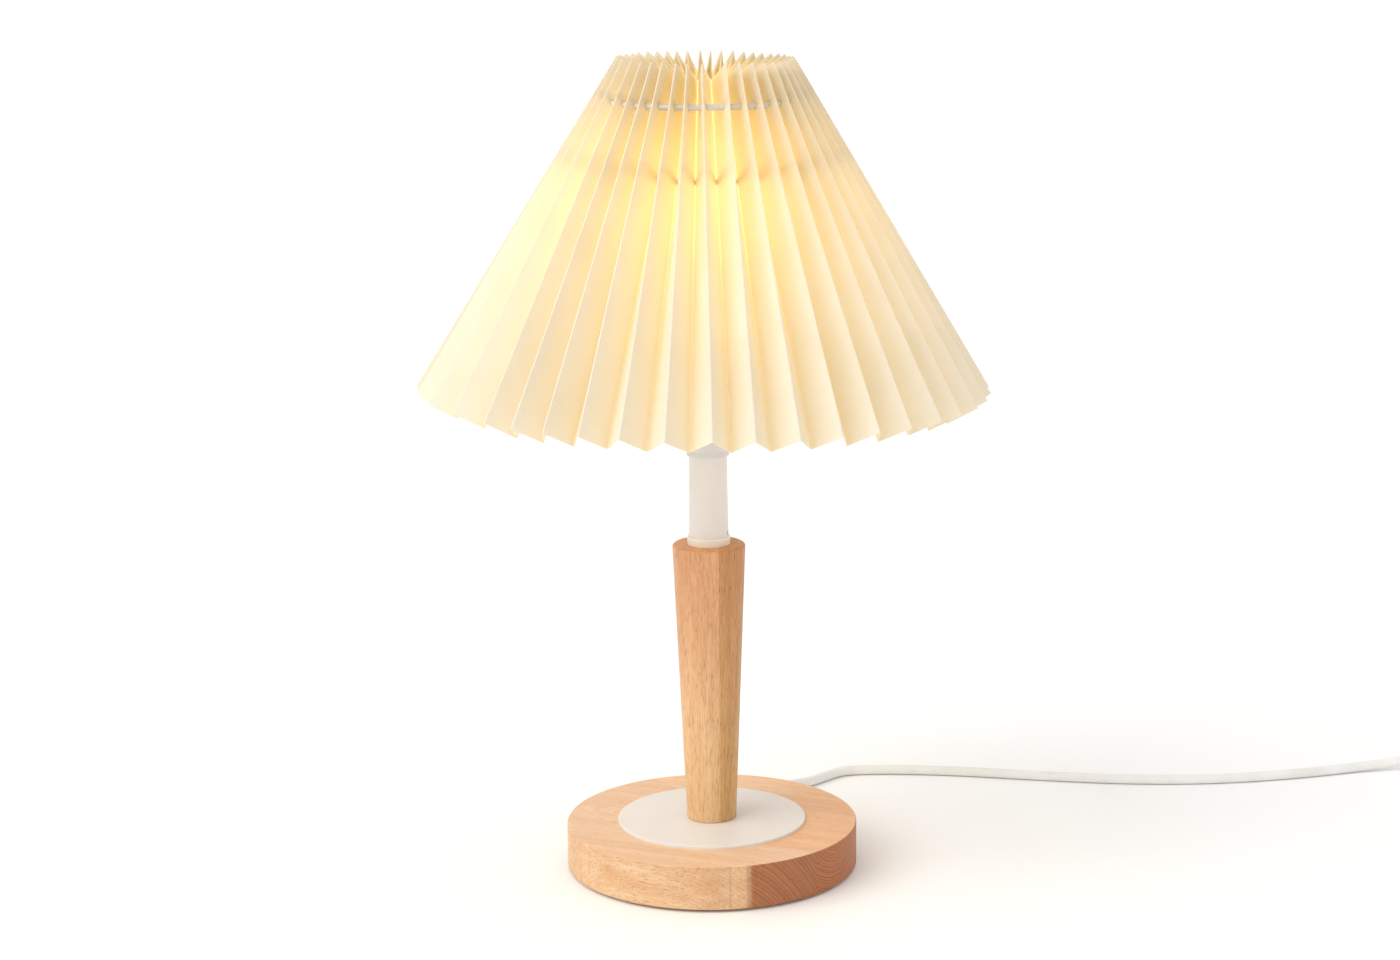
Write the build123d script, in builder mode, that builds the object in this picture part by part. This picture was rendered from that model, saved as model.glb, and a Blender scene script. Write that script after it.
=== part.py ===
"""Pleated paper table lamp: turned wooden foot, tapered stem, screw-in bulb, folded paper shade and
a mains lead with a rocker switch. Millimetres, +Z up, origin on the table under the stem."""
from build123d import *
from math import atan2, cos, degrees, hypot, pi, radians, sin, sqrt, tan
import os

os.makedirs("parts", exist_ok=True)

# ---------------------------------------------------------------- driving dimensions
# Foot, from the table upwards
pad_thickness = 1.5
pad_radius = 72.0
base_radius = 78.0
base_thickness = 23.5
base_edge = 0.8
plate_radius = 50.5
plate_thickness = 1.5
# Stem: a turned peg that widens upwards
stem_length = 151.5
stem_foot_radius = 13.2
stem_head_radius = 19.4
stem_edge = 1.6
# White metal neck above the stem
collar_radius = 11.4
collar_height = 4.2
neck_length = 43.8
neck_foot_radius = 10.45
neck_head_radius = 9.95
grub_radius = 1.5
grub_length = 4.4
grub_height = 1.9
grub_angle = -14.0
grub_socket_radius = 0.9
grub_socket_depth = 1.8
grub_sink = 0.15
# Hollow threaded rod that ties foot, stem and lampholder together
rod_radius = 5.0
rod_bore_radius = 3.6
thread_clearance = 0.05
bore_clearance = 0.2
pocket_radius = 21.0
pocket_depth = 18.0
washer_radius = 13.0
washer_thickness = 1.6
rod_nut_across_flats = 17.0
rod_nut_height = 4.0
rod_tail = 0.3
# Lampholder
cap_height = 20.0
cap_lip_radius = 11.2
cap_lip_height = 2.5
cap_flare_height = 9.0
cap_radius = 19.75
cap_wall = 2.3
bush_height = 5.0
bush_across_flats = 14.0
core_radius = 17.2
core_height = 8.0
skirt_height = 32.0
skirt_wall = 2.3
carrier_stop_radius = 23.0
carrier_stop_lift = 10.0
carrier_stop_thickness = 2.0
shell_radius = 13.75
shell_wall = 0.45
shell_height = 25.0
terminal_offset = 9.0
terminal_width = 6.0
terminal_height = 5.0
terminal_screw_radius = 1.5
terminal_screw_length = 4.6
contact_width = 5.0
contact_thickness = 0.5
contact_height = 2.6
contact_reach = 8.0
core_wire_radius = 1.1
core_wire_spread = 1.5
# Bulb
bulb_lift_clearance = 0.3
tip_radius = 4.5
tip_height = 1.6
insulator_height = 2.6
insulator_top_radius = 10.4
bulb_cap_radius = 13.1
bulb_cap_height = 22.5
bulb_cap_wall = 0.35
bulb_cap_shoulder = 2.0
bulb_cap_lining = 0.2
housing_plug_lift = 4.0
housing_flare_step = 1.0
bulb_length = 108.0
dome_radius = 30.0
dome_wall = 1.2
dome_seat_drop = 15.5
housing_foot_radius = 14.4
housing_neck_height = 8.0
housing_wall = 1.5
led_board_thickness = 1.6
led_board_gap = 1.6
led_count = 12
led_size = 2.8
led_ring_radius = 15.0
# Carrier: seat washer, four arms and the ring that the inner folds sit on
seat_clearance = 0.3
seat_radius = 29.5
seat_thickness = 1.4
seat_gap = 0.1
arm_count = 4
arm_radius = 1.5
support_drop = 59.0
support_wire_radius = 1.5
fold_clearance = 0.3
# Clamping ring on the lampholder
clamp_flange_radius = 26.5
clamp_flange_thickness = 2.0
clamp_radius = 24.0
clamp_height = 8.5
clamp_grips = 24
clamp_grip_radius = 1.3
# Pleated shade: outer folds and inner folds run as straight lines from top to bottom
pleat_count = 44
pleat_phase = 0.18
shade_lift = 175.9
shade_rise = 171.0
shade_top_radius = 45.8
shade_bottom_radius = 150.0
pleat_depth_top = 15.1
pleat_depth_bottom = 12.4
edge_drop_top = 9.2
edge_drop_bottom = 7.5
paper_thickness = 0.45
# Wire ring threaded through a hole in every pleat
gather_drop = 21.5
gather_wire_radius = 1.6
gather_from_ridge = 7.2
hole_clearance = 0.35
sleeve_radius = 2.3
sleeve_length = 3.0
ring_gap = 0.6
# Lead
cord_radius = 2.8
exit_angle = 72.0
exit_height = 7.5
inner_bend_radius = 6.0
relief_grip_length = 12.0
relief_grip_radius = 4.4
relief_flange_radius = 6.0
relief_flange_thickness = 2.0
relief_sleeve_length = 24.0
relief_root_radius = 4.7
relief_tip_radius = 3.6
relief_clearance = 0.1
table_gap = 0.05
lead_relief_run = 9.0
lead_switch_run = 11.0
lead_coil_run = 9.0
lead_sag_height = 4.6
link_bow = 5.0
link_side = 1.2
link_lift = 0.8
bend_share = 0.45
stop_tie_radius = 5.0
stop_tie_width = 4.0
stop_tie_gap = 1.0
# Switch on the lead
switch_centre_x = 461.0
switch_y = 150.0
switch_length = 62.0
switch_width = 26.0
switch_height = 17.0
switch_corner = 7.0
switch_edge = 2.0
switch_wall = 2.0
cord_switch_height = 7.6
rocker_length = 19.0
rocker_width = 10.4
rocker_tilt = 9.0
rocker_pivot_height = 12.6
rocker_rise = 6.2
rocker_dish = 1.8
rocker_side = 1.2
rocker_nub = 2.4
rocker_gap = 0.8
rocker_pin_radius = 1.0
pin_clearance = 0.08
switch_screw_radius = 1.25
switch_screw_head_radius = 2.4
switch_screw_head_height = 1.6
switch_screw_x = 20.0
switch_screw_y = 7.4
switch_post_radius = 2.9
switch_screw_length = 12.0
switch_stub = 9.0
cheek_thickness = 1.6
cheek_length = 6.0
spring_strip = 0.6
spring_strip_width = 4.6
spring_strip_reach = 14.0
spring_strip_end = 5.0
spring_strip_y = 2.8
spring_strip_height = 8.4
# Coil of the lead that is put away
coil_x = 548.0
coil_turn_radius = 22.0
coil_pitch = 6.1
coil_quarters = 25
coil_climb_quarter = 12
coil_layer_gap = 0.5
tie_thickness = 0.8
tie_width = 5.0
tie_gap = 0.4
# Plug
tail_reach = 36.0
tail_side = 1.5
plug_width = 35.0
plug_thickness = 13.7
plug_body_length = 15.0
plug_shoulder_length = 9.0
plug_neck_width = 12.0
plug_neck_length = 22.0
plug_neck_tip_radius = 4.2
plug_edge = 2.0
pin_radius = 2.0
pin_length = 19.0
pin_spacing = 18.6
pin_root = 6.0
pin_tip_edge = 1.2

# ---------------------------------------------------------------- heights worked out
base_bottom = pad_thickness
base_top = base_bottom + base_thickness
plate_top = base_top + plate_thickness
stem_top = plate_top + stem_length
collar_top = stem_top + collar_height
neck_top = collar_top + neck_length
pocket_top = base_bottom + pocket_depth
washer_bottom = pocket_top - washer_thickness
nut_bottom = washer_bottom - rod_nut_height
rod_bottom = nut_bottom - rod_tail
cap_top = neck_top + cap_height
bush_bottom = neck_top + cap_wall
rod_top = bush_bottom + bush_height
core_bottom = neck_top + cap_flare_height + cap_wall
core_top = core_bottom + core_height
shell_top = core_top + shell_height
skirt_top = cap_top + skirt_height
carrier_stop_bottom = cap_top + carrier_stop_lift
carrier_stop_top = carrier_stop_bottom + carrier_stop_thickness
seat_bottom = carrier_stop_top + seat_gap
seat_top = seat_bottom + seat_thickness
clamp_bottom = seat_top + seat_gap
tip_bottom = core_top + contact_height + contact_thickness + bulb_lift_clearance
insulator_bottom = tip_bottom + tip_height
bulb_cap_bottom = insulator_bottom + insulator_height
bulb_cap_top = bulb_cap_bottom + bulb_cap_height
dome_centre = tip_bottom + bulb_length - dome_radius
dome_seat = dome_centre - dome_seat_drop
shade_top = seat_bottom + shade_lift
support_height = shade_top - support_drop
gather_height = shade_top - gather_drop
shade_bottom = shade_top - shade_rise
valley_top = shade_top - edge_drop_top
valley_bottom = shade_bottom - edge_drop_bottom
valley_top_radius = shade_top_radius - pleat_depth_top
valley_bottom_radius = shade_bottom_radius - pleat_depth_bottom
dome_seat_radius = sqrt(dome_radius**2 - dome_seat_drop**2)
exit_direction = Vector(cos(radians(exit_angle)), sin(radians(exit_angle)), 0)
relief_tip_reach = base_radius + relief_flange_thickness + relief_sleeve_length


def save(piece, name):
    """Name a finished piece and write it out."""
    piece.part.label = name
    export_step(piece.part, f"parts/{name}.step")


def tube_wall(outer, inner, bottom, top):
    """A plain ring of the given radii between two heights."""
    with BuildSketch(Plane.XY.offset(bottom)) as section:
        Circle(outer)
        Circle(inner, mode=Mode.SUBTRACT)
    extrude(section.sketch, amount=top - bottom)


def turned(points, mode=Mode.ADD):
    """A turned body from its half section, given as radius and height."""
    with BuildSketch(Plane.XZ) as section:
        with BuildLine():
            Polyline(*points, close=True)
        make_face()
    revolve(section.sketch, axis=Axis.Z, mode=mode)


# ---------------------------------------------------------------- foot
# Felt disc glued under the foot; it closes the pocket and is what the lamp stands on.
with BuildPart() as base_pad:
    with BuildSketch():
        Circle(pad_radius)
    extrude(amount=pad_thickness)
save(base_pad, "base_pad")

# Glued-up board turned to a thick disc, with a pocket for the nut and a drilled way for the lead.
exit_plane = Plane(origin=(0, 0, exit_height), z_dir=exit_direction)
socket_plane = Plane(
    origin=Vector(0, 0, exit_height) + exit_direction * (base_radius - relief_grip_length),
    z_dir=exit_direction,
)
with BuildPart() as base_disc:
    with BuildSketch(Plane.XY.offset(base_bottom)):
        Circle(base_radius)
    extrude(amount=base_thickness)
    fillet(base_disc.edges().filter_by(GeomType.CIRCLE), radius=base_edge)
    with BuildSketch(Plane.XY.offset(base_bottom)):
        Circle(pocket_radius)
    extrude(amount=pocket_depth, mode=Mode.SUBTRACT)
    with Locations((0, 0, base_top)):
        Hole(rod_radius + bore_clearance)
    with BuildSketch(exit_plane):
        Circle(cord_radius + bore_clearance)
    extrude(amount=base_radius, mode=Mode.SUBTRACT)
    with BuildSketch(socket_plane):
        Circle(relief_grip_radius + relief_clearance)
    extrude(amount=base_radius, mode=Mode.SUBTRACT)
save(base_disc, "base_disc")

# Painted steel disc between the foot and the stem.
with BuildPart() as cover_plate:
    tube_wall(plate_radius, rod_radius + bore_clearance, base_top, plate_top)
    fillet(cover_plate.edges().group_by(Axis.Z)[-1].sort_by(SortBy.LENGTH)[-1], plate_thickness / 3)
save(cover_plate, "cover_plate")

# Turned hardwood stem, narrow at the foot and wide at the head.
with BuildPart() as stem:
    with Locations((0, 0, plate_top)):
        Cone(stem_foot_radius, stem_head_radius, stem_length, align=(Align.CENTER, Align.CENTER, Align.MIN))
    fillet(stem.edges().group_by(Axis.Z)[-1], radius=stem_edge)
    fillet(stem.edges().group_by(Axis.Z)[0], radius=stem_edge / 2)
    with Locations((0, 0, stem_top)):
        Hole(rod_radius + bore_clearance)
save(stem, "stem")

# ---------------------------------------------------------------- rod and its fixings
with BuildPart() as threaded_rod:
    tube_wall(rod_radius, rod_bore_radius, rod_bottom, rod_top)
save(threaded_rod, "threaded_rod")

with BuildPart() as rod_washer:
    tube_wall(washer_radius, rod_radius + bore_clearance, washer_bottom, pocket_top)
save(rod_washer, "rod_washer")


def hex_nut(across_flats, bore, bottom, height):
    """A six-sided nut."""
    with BuildSketch(Plane.XY.offset(bottom)) as section:
        RegularPolygon(across_flats / 2, 6, major_radius=False)
        Circle(bore, mode=Mode.SUBTRACT)
    extrude(section.sketch, amount=height)


with BuildPart() as rod_nut:
    hex_nut(rod_nut_across_flats, rod_radius + thread_clearance, nut_bottom, rod_nut_height)
save(rod_nut, "rod_nut")

# ---------------------------------------------------------------- neck
with BuildPart() as neck_collar:
    tube_wall(collar_radius, rod_radius + bore_clearance, stem_top, collar_top)
    fillet(neck_collar.edges().group_by(Axis.Z)[-1].sort_by(SortBy.LENGTH)[-1], collar_height / 6)
save(neck_collar, "neck_collar")

grub_direction = Vector(cos(radians(grub_angle)), sin(radians(grub_angle)), 0)
grub_face = Vector(0, 0, collar_top + grub_height) + grub_direction * (neck_foot_radius - grub_sink)
with BuildPart() as neck_tube:
    with Locations((0, 0, collar_top)):
        Cone(neck_foot_radius, neck_head_radius, neck_length, align=(Align.CENTER, Align.CENTER, Align.MIN))
    with Locations((0, 0, neck_top)):
        Hole(rod_radius + bore_clearance)
    with BuildSketch(Plane(origin=(0, 0, collar_top + grub_height), z_dir=grub_direction)):
        Circle(grub_radius + thread_clearance)
    extrude(amount=2 * neck_foot_radius, mode=Mode.SUBTRACT)
save(neck_tube, "neck_tube")

# Grub screw with a six-sided socket that stops the neck from turning on the rod.
with BuildPart() as neck_grub_screw:
    with BuildSketch(Plane(origin=grub_face, z_dir=grub_direction)):
        Circle(grub_radius)
    extrude(amount=-grub_length)
    with BuildSketch(Plane(origin=grub_face, z_dir=grub_direction)):
        RegularPolygon(grub_socket_radius, 6)
    extrude(amount=-grub_socket_depth, mode=Mode.SUBTRACT)
save(neck_grub_screw, "neck_grub_screw")

# ---------------------------------------------------------------- lampholder
# Moulded cap: a short lip on the neck, a flared floor and a straight wall.
cap_floor_bore = rod_radius + bore_clearance
with BuildPart() as holder_cap:
    turned([
        (cap_floor_bore, neck_top),
        (cap_lip_radius, neck_top),
        (cap_lip_radius, neck_top + cap_lip_height),
        (cap_radius, neck_top + cap_flare_height),
        (cap_radius, cap_top),
        (cap_radius - cap_wall, cap_top),
        (cap_radius - cap_wall, neck_top + cap_flare_height + cap_wall / 2),
        (cap_lip_radius - cap_wall, neck_top + cap_wall),
        (cap_floor_bore, neck_top + cap_wall),
    ])
save(holder_cap, "holder_cap")

# Brass nut that clamps the cap to the rod from inside.
with BuildPart() as holder_bush:
    hex_nut(bush_across_flats, rod_radius + thread_clearance, bush_bottom, bush_height)
save(holder_bush, "holder_bush")

# Glazed ceramic insert: terminals hang in pockets below, the screw shell stands on top.
terminal_clearance = 0.3
with BuildPart() as holder_core:
    tube_wall(core_radius, core_wire_spread + core_wire_radius, core_bottom, core_top)
    with BuildSketch(Plane.XY.offset(core_bottom)):
        with Locations((terminal_offset, 0), (-terminal_offset, 0)):
            Rectangle(terminal_width + terminal_clearance, terminal_width + terminal_clearance)
    extrude(amount=terminal_height, mode=Mode.SUBTRACT)
save(holder_core, "holder_core")

with BuildPart() as holder_terminals:
    with BuildSketch(Plane.XY.offset(core_bottom)):
        with Locations((terminal_offset, 0), (-terminal_offset, 0)):
            Rectangle(terminal_width, terminal_width)
            Circle(terminal_screw_radius + thread_clearance, mode=Mode.SUBTRACT)
    extrude(amount=terminal_height)
save(holder_terminals, "holder_terminals")

with BuildPart() as terminal_screws:
    with BuildSketch(Plane.XY.offset(core_bottom + terminal_height)):
        with Locations((terminal_offset, 0), (-terminal_offset, 0)):
            Circle(terminal_screw_radius)
    extrude(amount=-terminal_screw_length)
save(terminal_screws, "terminal_screws")

with BuildPart() as screw_shell:
    tube_wall(shell_radius, shell_radius - shell_wall, core_top, shell_top)
save(screw_shell, "screw_shell")

# Sprung brass tongue under the bulb's tip.
with BuildPart() as centre_contact:
    with BuildSketch(Plane.XZ):
        with BuildLine():
            Polyline(
                (-contact_reach, core_top),
                (-contact_reach / 2, core_top),
                (0, core_top + contact_height),
                (contact_reach / 3, core_top + contact_height),
                (contact_reach / 3, core_top + contact_height + contact_thickness),
                (-contact_thickness / 4, core_top + contact_height + contact_thickness),
                (-contact_reach / 2 - contact_thickness / 4, core_top + contact_thickness),
                (-contact_reach, core_top + contact_thickness),
                close=True,
            )
        make_face()
    extrude(amount=contact_width / 2, both=True)
save(centre_contact, "centre_contact")

# Two insulated cores from the end of the lead to the terminals.
cord_top = rod_top + thread_clearance
wire_standoff = core_wire_radius + thread_clearance
with BuildPart() as holder_wires:
    for side in (-1, 1):
        wire_start = Vector(side * core_wire_spread, 0, cord_top + wire_standoff)
        wire_end = Vector(side * terminal_offset, 0, core_bottom - wire_standoff)
        with BuildSketch(Plane(origin=wire_start, z_dir=wire_end - wire_start)):
            Circle(core_wire_radius)
        extrude(amount=(wire_end - wire_start).length)
save(holder_wires, "holder_wires")

# Outer skirt, screwed on the cap, with the stop that the carrier rests on.
with BuildPart() as holder_skirt:
    tube_wall(cap_radius, cap_radius - skirt_wall, cap_top, skirt_top)
    tube_wall(carrier_stop_radius, cap_radius - skirt_wall / 2, carrier_stop_bottom, carrier_stop_top)
save(holder_skirt, "holder_skirt")

# Ring nut that clamps the carrier on its stop.
with BuildPart() as clamp_ring:
    clamp_bore = cap_radius + seat_clearance
    tube_wall(clamp_flange_radius, clamp_bore, clamp_bottom, clamp_bottom + clamp_flange_thickness)
    tube_wall(clamp_radius, clamp_bore, clamp_bottom, clamp_bottom + clamp_height)
    with BuildSketch(Plane.XY.offset(clamp_bottom + clamp_flange_thickness)):
        with PolarLocations(clamp_radius + clamp_grip_radius / 2, clamp_grips):
            Circle(clamp_grip_radius)
    extrude(amount=clamp_height, mode=Mode.SUBTRACT)
save(clamp_ring, "clamp_ring")

# ---------------------------------------------------------------- bulb
with BuildPart() as bulb_tip:
    with Locations((0, 0, tip_bottom)):
        Cylinder(tip_radius, tip_height, align=(Align.CENTER, Align.CENTER, Align.MIN))
    fillet(bulb_tip.edges().group_by(Axis.Z)[0], radius=tip_height / 2)
save(bulb_tip, "bulb_tip")

with BuildPart() as bulb_insulator:
    with Locations((0, 0, insulator_bottom)):
        Cone(
            tip_radius + 1,
            insulator_top_radius,
            insulator_height,
            align=(Align.CENTER, Align.CENTER, Align.MIN),
        )
save(bulb_insulator, "bulb_insulator")

with BuildPart() as bulb_cap:
    turned([
        (0, bulb_cap_bottom),
        (insulator_top_radius, bulb_cap_bottom),
        (bulb_cap_radius, bulb_cap_bottom + bulb_cap_shoulder),
        (bulb_cap_radius, bulb_cap_top),
        (bulb_cap_radius - bulb_cap_wall, bulb_cap_top),
        (bulb_cap_radius - bulb_cap_wall, bulb_cap_bottom + bulb_cap_shoulder + bulb_cap_lining),
        (insulator_top_radius - bulb_cap_wall, bulb_cap_bottom + bulb_cap_wall),
        (0, bulb_cap_bottom + bulb_cap_wall),
    ])
save(bulb_cap, "bulb_cap")

# Heat-spreading housing: a plug in the cap, a short neck and a flared bell.
housing_plug_radius = bulb_cap_radius - bulb_cap_wall - thread_clearance
housing_flare_bottom = bulb_cap_top + housing_neck_height
with BuildPart() as bulb_housing:
    turned([
        (housing_plug_radius, bulb_cap_bottom + housing_plug_lift),
        (housing_plug_radius, bulb_cap_top),
        (housing_foot_radius, bulb_cap_top),
        (housing_foot_radius + housing_flare_step, housing_flare_bottom),
        (dome_seat_radius, dome_seat),
        (dome_seat_radius - housing_wall, dome_seat),
        (housing_foot_radius + housing_flare_step - housing_wall, housing_flare_bottom),
        (housing_plug_radius - housing_wall, bulb_cap_top),
        (housing_plug_radius - housing_wall, bulb_cap_bottom + housing_plug_lift),
    ])
save(bulb_housing, "bulb_housing")

# Round board with a ring of light-emitting chips, held in the mouth of the housing.
board_radius = dome_seat_radius - housing_wall - led_board_gap
board_bottom = dome_seat - 2 * led_board_thickness
with BuildPart() as led_board:
    with Locations((0, 0, board_bottom)):
        Cylinder(board_radius, led_board_thickness, align=(Align.CENTER, Align.CENTER, Align.MIN))
    with BuildSketch(Plane.XY.offset(board_bottom + led_board_thickness)):
        with PolarLocations(led_ring_radius, led_count):
            Rectangle(led_size, led_size)
    extrude(amount=led_board_thickness / 2)
save(led_board, "led_board")

with BuildPart() as bulb_dome:
    with Locations((0, 0, dome_centre)):
        Sphere(dome_radius)
        Sphere(dome_radius - dome_wall, mode=Mode.SUBTRACT)
    split(bisect_by=Plane.XY.offset(dome_seat), keep=Keep.TOP)
save(bulb_dome, "bulb_dome")

# ---------------------------------------------------------------- pleated shade
pleat_step = 360 / pleat_count
ridge_slope = (shade_bottom_radius - shade_top_radius) / shade_rise
valley_slope = (valley_bottom_radius - valley_top_radius) / (valley_top - valley_bottom)


def ridge_radius(height):
    """Radius of the outer fold line at a height."""
    return shade_top_radius + (shade_top - height) * ridge_slope


def valley_radius(height):
    """Radius of the inner fold line at a height."""
    return valley_top_radius + (valley_top - height) * valley_slope


def fold_flat(height):
    """Half the width of the blunt tip of a fold, which keeps the paper as thick on its panels."""
    half_step = radians(pleat_step / 2)
    across = valley_radius(height) * sin(half_step)
    along = ridge_radius(height) - valley_radius(height) * cos(half_step)
    lean = atan2(across, along)
    return paper_thickness * (1 - sin(lean)) / cos(lean)


def pleat_outline(height, inner_face):
    """The zigzag of the folds at a height: blunt where this face is on the outside of a fold."""
    flat = fold_flat(height)
    inset = paper_thickness if inner_face else 0
    corners = []
    for pleat in range(pleat_count):
        ridge_angle = radians(-90 + (pleat + pleat_phase) * pleat_step)
        valley_angle = ridge_angle + radians(pleat_step / 2)
        for angle, radius, blunt in (
            (ridge_angle, ridge_radius(height) - inset, not inner_face),
            (valley_angle, valley_radius(height) - inset, inner_face),
        ):
            for offset in (-flat, flat) if blunt else (0,):
                corners.append(
                    (radius * cos(angle) - offset * sin(angle), radius * sin(angle) + offset * cos(angle))
                )
    return corners


def pleated_body(inner_face):
    """A solid bounded by one face of the folded paper."""
    sections = []
    for height in (cut_bottom, cut_top):
        with BuildSketch(Plane.XY.offset(height)) as section:
            with BuildLine():
                Polyline(*pleat_outline(height, inner_face), close=True)
            make_face()
        sections.append(section.sketch)
    loft(sections, ruled=True, mode=Mode.SUBTRACT if inner_face else Mode.ADD)


# The strip is cut square before it is folded, so both edges rise from inner to outer fold.
gather_radius = ridge_radius(gather_height) - gather_from_ridge
edge_margin = 0.5
cut_top = shade_top + edge_margin
cut_bottom = valley_bottom - edge_margin
trim_reach = ridge_radius(cut_bottom) + 10 * edge_margin
top_edge_slope = edge_drop_top / pleat_depth_top
bottom_edge_slope = edge_drop_bottom / pleat_depth_bottom


def top_edge(radius):
    """Height of the upper edge of the strip at a radius."""
    return shade_top + (radius - shade_top_radius) * top_edge_slope


def bottom_edge(radius):
    """Height of the lower edge of the strip at a radius."""
    return shade_bottom + (radius - shade_bottom_radius) * bottom_edge_slope


with BuildPart() as pleated_shade:
    pleated_body(inner_face=False)
    pleated_body(inner_face=True)
    turned([
        (0, top_edge(0)),
        (trim_reach, top_edge(trim_reach)),
        (0, top_edge(trim_reach)),
    ], mode=Mode.SUBTRACT)
    turned([
        (0, bottom_edge(0)),
        (trim_reach, bottom_edge(trim_reach)),
        (trim_reach, bottom_edge(0)),
    ], mode=Mode.SUBTRACT)
    with Locations((0, 0, gather_height)):
        Torus(gather_radius, gather_wire_radius + hole_clearance, mode=Mode.SUBTRACT)
save(pleated_shade, "pleated_shade")

# Wire ring through the holes; its ends meet in a short sleeve at the back.
sleeve_angle = 90 + (pleat_phase % 1 - 0.5) * pleat_step
ring_gap_angle = degrees(ring_gap / gather_radius)
with BuildPart() as gather_ring:
    start_angle = radians(sleeve_angle + ring_gap_angle / 2)
    ring_section = Plane(
        origin=(gather_radius * cos(start_angle), gather_radius * sin(start_angle), gather_height),
        z_dir=(-sin(start_angle), cos(start_angle), 0),
    )
    with BuildSketch(ring_section):
        Circle(gather_wire_radius)
    revolve(axis=Axis.Z, revolution_arc=360 - ring_gap_angle)
save(gather_ring, "gather_ring")

sleeve_direction = Vector(cos(radians(sleeve_angle)), sin(radians(sleeve_angle)), 0)
with BuildPart() as ring_sleeve:
    sleeve_plane = Plane(
        origin=Vector(0, 0, gather_height) + sleeve_direction * gather_radius,
        z_dir=sleeve_direction.cross(Vector(0, 0, 1)),
    )
    with BuildSketch(sleeve_plane):
        Circle(sleeve_radius)
        Circle(gather_wire_radius + thread_clearance, mode=Mode.SUBTRACT)
    extrude(amount=sleeve_length / 2, both=True)
save(ring_sleeve, "ring_sleeve")

# Welded wire carrier: the cone of inner folds sits on its upper ring like a hat.
fold_lean = atan2(valley_slope, 1)
inner_fold_radius = valley_radius(support_height) - paper_thickness
support_radius = inner_fold_radius - (support_wire_radius + fold_clearance) / cos(fold_lean)
arm_foot = Vector(seat_radius - arm_radius / 2, 0, seat_bottom + seat_thickness / 2)
arm_head = Vector(support_radius, 0, support_height)
with BuildPart() as shade_frame:
    tube_wall(seat_radius, cap_radius + seat_clearance, seat_bottom, seat_top)
    with Locations((0, 0, support_height)):
        Torus(support_radius, support_wire_radius)
    for arm in range(arm_count):
        turn = 360 / arm_count * (arm + 0.5)
        foot, head = arm_foot.rotate(Axis.Z, turn), arm_head.rotate(Axis.Z, turn)
        with BuildSketch(Plane(origin=foot, z_dir=head - foot)):
            Circle(arm_radius)
        extrude(amount=(head - foot).length)
save(shade_frame, "shade_frame")

# ---------------------------------------------------------------- lead: held length and outlet
# From the lampholder down the hollow rod, round the pocket and out through the foot.
relief_tip = Vector(0, 0, exit_height) + exit_direction * relief_tip_reach
with BuildPart() as inner_cord:
    with BuildLine() as inner_route:
        FilletPolyline((0, 0, cord_top), (0, 0, exit_height), relief_tip, radius=inner_bend_radius)
    with BuildSketch(Plane(origin=(0, 0, cord_top), z_dir=(0, 0, -1))):
        Circle(cord_radius)
    sweep()
save(inner_cord, "inner_cord")

# Soft sleeve that is pressed in the foot and tapers along the lead.
with BuildPart() as strain_relief:
    with BuildSketch(socket_plane):
        Circle(relief_grip_radius)
    extrude(amount=relief_grip_length)
    flange_plane = socket_plane.offset(relief_grip_length)
    with BuildSketch(flange_plane):
        Circle(relief_flange_radius)
    extrude(amount=relief_flange_thickness)
    with BuildSketch(flange_plane.offset(relief_flange_thickness)):
        Circle(relief_root_radius)
    with BuildSketch(flange_plane.offset(relief_flange_thickness + relief_sleeve_length)):
        Circle(relief_tip_radius)
    loft()
    with BuildSketch(socket_plane):
        Circle(cord_radius + relief_clearance)
    extrude(amount=relief_tip_reach, mode=Mode.SUBTRACT)
save(strain_relief, "strain_relief")

# Nylon tie on the lead inside the pocket, so that a pull stops against the wood.
stop_tie_reach = pocket_radius - stop_tie_width - stop_tie_gap
with BuildPart() as stop_tie:
    tie_plane = Plane(origin=Vector(0, 0, exit_height) + exit_direction * stop_tie_reach, z_dir=exit_direction)
    with BuildSketch(tie_plane):
        Circle(stop_tie_radius)
        with Locations((0, stop_tie_radius)):
            Rectangle(stop_tie_width, stop_tie_width / 2)
        Circle(cord_radius + relief_clearance, mode=Mode.SUBTRACT)
    extrude(amount=stop_tie_width)
save(stop_tie, "stop_tie")

# ---------------------------------------------------------------- lead: free lengths
table_height = cord_radius + table_gap
switch_end = Vector(switch_centre_x - switch_length / 2, switch_y, cord_switch_height)
lead_points = [
    relief_tip,
    relief_tip + exit_direction * lead_relief_run,
    Vector(41.5, 121.5, 4.4),
    Vector(49.5, 134.0, table_height),
    Vector(61.0, 144.5, table_height),
    Vector(78.0, 150.0, table_height),
    Vector(102.0, 151.5, table_height),
    Vector(142.0, 147.5, table_height),
    Vector(190.0, 136.5, table_height),
    Vector(243.0, 126.5, table_height),
    Vector(297.0, 125.5, table_height),
    Vector(346.0, 134.5, table_height),
    Vector(382.0, 145.5, table_height),
    Vector(406.0, switch_y - link_lift, lead_sag_height),
    switch_end - Vector(lead_switch_run, 0, 0),
    switch_end,
]


def corner_radii(points):
    """The smooth arc at each corner of a route: it takes the same share of the shorter run."""
    radii = []
    for before, here, after in zip(points, points[1:], points[2:]):
        turn = radians((here - before).get_angle(after - here))
        shorter = min((here - before).length, (after - here).length)
        radii.append(bend_share * shorter / tan(turn / 2))
    return radii


def report_tube(name, piece, length):
    """Print how a tube's volume compares with its section times its length."""
    expected = pi * cord_radius**2 * length
    print(name, "length", round(length, 1), "mm, volume ratio", round(piece.part.volume / expected, 4))


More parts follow.
